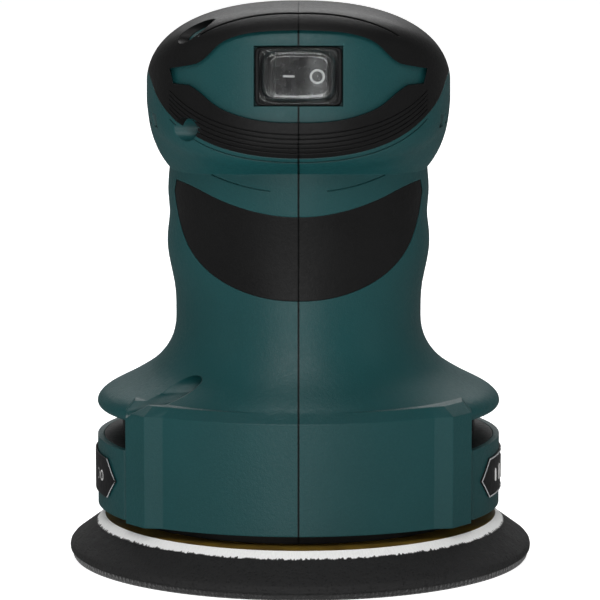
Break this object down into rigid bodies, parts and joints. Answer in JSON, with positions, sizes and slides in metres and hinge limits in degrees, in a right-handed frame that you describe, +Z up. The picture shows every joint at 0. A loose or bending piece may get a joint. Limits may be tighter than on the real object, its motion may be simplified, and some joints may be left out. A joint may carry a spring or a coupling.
{
  "type": "orbital sander",
  "caption": "Palm-held random orbit sander: waisted split housing with soft grips, sealed rocker switch, round hook-and-foam pad and a slide-off dust box.",
  "frame": {"origin": "on the motor's axis, in the sanding face", "axes": "+Z up the motor's axis, -Y towards the user's view of the switch, +Y towards the cord and dust box, +X right of the switch"},
  "size_m": [0.125, 0.1751, 0.1512],
  "materials": {
    "green_shell": "fine spark-eroded texture, satin",
    "soft_grip": "matt soft-touch overmould",
    "black_plastic": "fine texture",
    "clear_boot": "clear flexible moulding",
    "badge_plastic": "black with a thin silver edge",
    "rocker_plastic": "semi-gloss black with white marks",
    "brass": "plain",
    "steel_lamination": "stacked sheet",
    "copper_winding": "varnished copper wire",
    "carbon": "graphite block",
    "spring_steel": "bright wire",
    "bearing_steel": "ground",
    "cast_alloy": "die cast",
    "felt_brake": "soft ring",
    "zinc_screw": "zinc plated",
    "fan_plastic": "glass-filled nylon",
    "weight_alloy": "cast",
    "laminate": "amber-brown translucent laminate with a pale machined edge",
    "foam": "closed-cell foam",
    "hook_fabric": "hook-and-loop",
    "smoke_plastic": "fine texture",
    "seal_rubber": "soft",
    "filter_paper": "pleated paper"
  },
  "bodies": {
    "housing": {"housing_left": "green_shell", "housing_right": "green_shell", "head_grip_left": "soft_grip", "head_grip_right": "soft_grip", "neck_grip_left": "soft_grip", "neck_grip_right": "soft_grip", "exhaust_ring": "black_plastic", "switch_body": "black_plastic", "switch_terminals": "brass", "switch_boot": "clear_boot", "side_badge_left": "badge_plastic", "side_badge_right": "badge_plastic", "field_core": "steel_lamination", "field_coils": "copper_winding", "brush_holders": "brass", "carbon_brushes": "carbon", "brush_springs": "spring_steel", "upper_bearing_outer": "bearing_steel", "lower_bearing_outer": "bearing_steel", "bearing_bridge": "cast_alloy", "brake_ring": "felt_brake", "cord_gland": "black_plastic", "suppression_capacitor": "badge_plastic", "housing_screws": "zinc_screw", "dust_spigot": "black_plastic"},
    "rotor": {"motor_shaft": "bearing_steel", "armature_core": "steel_lamination", "armature_windings": "copper_winding", "commutator": "copper_winding", "upper_bearing_inner": "bearing_steel", "lower_bearing_inner": "bearing_steel", "fan": "fan_plastic", "eccentric_hub": "cast_alloy", "counterweight": "weight_alloy", "pad_bearing_outer": "bearing_steel"},
    "pad": {"pad_bearing_inner": "bearing_steel", "pad_spindle": "cast_alloy", "pad_plate": "laminate", "pad_foam": "foam", "hook_face": "hook_fabric", "pad_screws": "zinc_screw"},
    "rocker": {"switch_rocker": "rocker_plastic"},
    "dust_box": {"dust_box": "smoke_plastic"},
    "dust_lid": {"dust_box_lid": "smoke_plastic", "lid_seal": "seal_rubber", "dust_filter": "filter_paper"}
  },
  "joints": [
    {"name": "rotor_spin", "type": "hinge", "parent": "housing", "child": "rotor", "pos_m": [0, 0, 0.07], "axis": [0, 0, 1], "continuous": true},
    {"name": "pad_spin", "type": "hinge", "parent": "rotor", "child": "pad", "pos_m": [0.0005, -0.00115, 0.02], "axis": [0, 0, 1], "continuous": true},
    {"name": "switch_rock", "type": "hinge", "parent": "housing", "child": "rocker", "pos_m": [0, -0.04006, 0.13317], "axis": [0, 0.1392, 0.9903], "range_deg": [-22, 0]},
    {"name": "dust_box_slide", "type": "slide", "parent": "housing", "child": "dust_box", "axis": [0, 1, 0], "range_m": [0, 0.045]},
    {"name": "dust_lid_slide", "type": "slide", "parent": "dust_box", "child": "dust_lid", "axis": [0, 1, 0], "range_m": [0, 0.04]}
  ]
}
